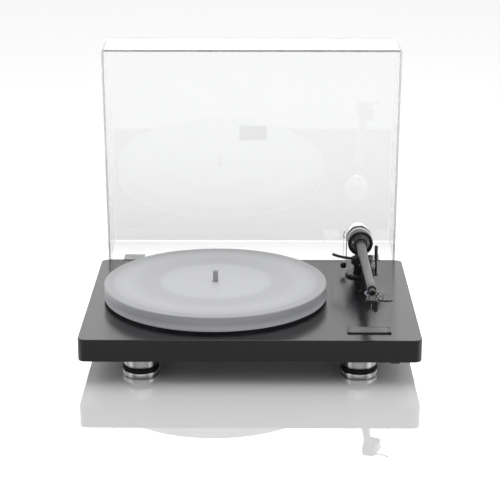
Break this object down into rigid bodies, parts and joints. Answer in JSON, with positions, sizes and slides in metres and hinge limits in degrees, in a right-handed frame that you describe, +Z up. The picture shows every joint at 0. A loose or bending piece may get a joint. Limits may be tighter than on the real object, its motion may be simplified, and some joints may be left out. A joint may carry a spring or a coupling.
{
  "type": "turntable record player",
  "caption": "Belt-driven record player: slab plinth on damped feet, frosted platter, straight gimbal tonearm and a clear hinged dust cover.",
  "frame": {"origin": "bottom centre of the bounding box of the player with its cover open: the plane the feet stand on", "axes": "+X to the right seen from the front, where the tonearm is; +Y to the back; +Z up"},
  "size_m": [0.435, 0.4165, 0.3768],
  "materials": {
    "charcoal_lacquer": "satin charcoal lacquer over fibreboard",
    "black_metal": "black anodised, satin",
    "graphite_tube": "grey-black anodised, satin",
    "turned_aluminium": "polished, finely turned",
    "chromed": "polished chrome",
    "steel": "ground steel",
    "bearing_bronze": "plain bearing bronze",
    "gold_plate": "gold-plated",
    "black_plastic": "fine moulded black",
    "hinge_pale": "pale moulded",
    "frosted_acrylic": "frosted, translucent",
    "pale_plastic": "pale satin moulding",
    "clear_acrylic": "clear, polished",
    "rubber": "matt black elastomer",
    "board": "circuit board laminate"
  },
  "bodies": {
    "chassis": {"plinth": "charcoal_lacquer", "foot_base_front_left": "turned_aluminium", "foot_damper_front_left": "rubber", "foot_post_front_left": "turned_aluminium", "foot_base_front_right": "turned_aluminium", "foot_damper_front_right": "rubber", "foot_post_front_right": "turned_aluminium", "foot_base_rear_left": "turned_aluminium", "foot_damper_rear_left": "rubber", "foot_post_rear_left": "turned_aluminium", "foot_base_rear_right": "turned_aluminium", "foot_damper_rear_right": "rubber", "foot_post_rear_right": "turned_aluminium", "bearing_housing": "steel", "bearing_bush": "bearing_bronze", "thrust_ball": "chromed", "drive_belt": "rubber", "motor_body": "steel", "motor_cover": "black_plastic", "power_switch_body": "black_plastic", "terminal_plate": "black_metal", "rca_jack_left": "gold_plate", "rca_jack_right": "gold_plate", "ground_post": "steel", "dc_socket": "black_plastic", "control_board": "board", "hinge_base_left": "hinge_pale", "hinge_base_right": "hinge_pale", "hinge_pin_left": "steel", "hinge_pin_right": "steel", "badge_plate": "charcoal_lacquer", "arm_base": "black_metal", "arm_pillar": "black_metal", "arm_collar": "black_metal", "lift_column": "black_metal", "arm_rest": "black_metal", "anti_skate_hook": "steel"},
    "platter": {"platter": "frosted_acrylic", "sub_platter": "pale_plastic", "spindle": "steel"},
    "pulley": {"motor_pulley": "bearing_bronze"},
    "cover": {"dust_cover": "clear_acrylic", "hinge_leaf_left": "hinge_pale", "hinge_leaf_right": "hinge_pale"},
    "power_lever": {"power_lever": "black_plastic"},
    "arm_yoke": {"bearing_ring": "black_metal", "pivot_pin_left": "steel", "pivot_pin_right": "steel"},
    "arm": {"gimbal_block": "graphite_tube", "arm_tube": "graphite_tube", "counterweight_stub": "steel", "headshell": "graphite_tube", "cartridge_body": "black_plastic", "stylus_unit": "black_plastic", "finger_lift": "black_metal"},
    "weight_carrier": {"counterweight_sleeve": "rubber"},
    "weight": {"counterweight": "chromed"},
    "cue_lever": {"cue_lever": "black_metal"},
    "lift": {"lift_bar": "black_metal"},
    "skate_weight": {"anti_skate_weight": "black_metal"}
  },
  "joints": [
    {"name": "platter_spin", "type": "hinge", "parent": "chassis", "child": "platter", "pos_m": [-0.0475, -0.03827, 0.0829], "axis": [0, 0, -1], "continuous": true},
    {"name": "pulley_spin", "type": "hinge", "parent": "chassis", "child": "pulley", "pos_m": [-0.10725, 0.02148, 0.0599], "axis": [0, 0, -1], "continuous": true},
    {"name": "cover_hinge", "type": "hinge", "parent": "chassis", "child": "cover", "pos_m": [0, 0.12663, 0.0494], "axis": [-1, 0, 0], "range_deg": [-84.5, 0]},
    {"name": "power_press", "type": "hinge", "parent": "chassis", "child": "power_lever", "pos_m": [0.184, -0.19627, 0.0369], "axis": [1, 0, 0], "range_deg": [0, 20]},
    {"name": "arm_swing", "type": "hinge", "parent": "chassis", "child": "arm_yoke", "pos_m": [0.153, 0.06073, 0.1069], "axis": [0, 0, -1], "range_deg": [0, 53]},
    {"name": "arm_tilt", "type": "hinge", "parent": "arm_yoke", "child": "arm", "pos_m": [0.153, 0.06073, 0.1069], "axis": [-0.9999, -0.014, 0], "range_deg": [-0.5, 8]},
    {"name": "counterweight_slide", "type": "slide", "parent": "arm", "child": "weight_carrier", "axis": [-0.014, 0.9999, 0], "range_m": [-0.003, 0.004]},
    {"name": "counterweight_turn", "type": "hinge", "parent": "weight_carrier", "child": "weight", "pos_m": [0.153, 0.06073, 0.1069], "axis": [-0.014, 0.9999, 0], "range_deg": [-360, 480]},
    {"name": "cue_lever_turn", "type": "hinge", "parent": "chassis", "child": "cue_lever", "pos_m": [0.1643, 0.01573, 0.0744], "axis": [1, 0, 0], "range_deg": [0, 60]},
    {"name": "lift_slide", "type": "slide", "parent": "chassis", "child": "lift", "axis": [0, 0, -1], "range_m": [0, 0.004]},
    {"name": "skate_weight_rise", "type": "slide", "parent": "chassis", "child": "skate_weight", "axis": [0, 0, 1], "range_m": [0, 0.0138]}
  ],
  "couplings": [
    {"joint": "pulley_spin", "follows": "platter_spin", "ratio": 12.475},
    {"joint": "counterweight_slide", "follows": "counterweight_turn", "m_per_rad": 0.00047746},
    {"joint": "lift_slide", "follows": "cue_lever_turn", "m_per_rad": 0.0038197},
    {"joint": "skate_weight_rise", "follows": "arm_swing", "m_per_rad": 0.014919}
  ]
}
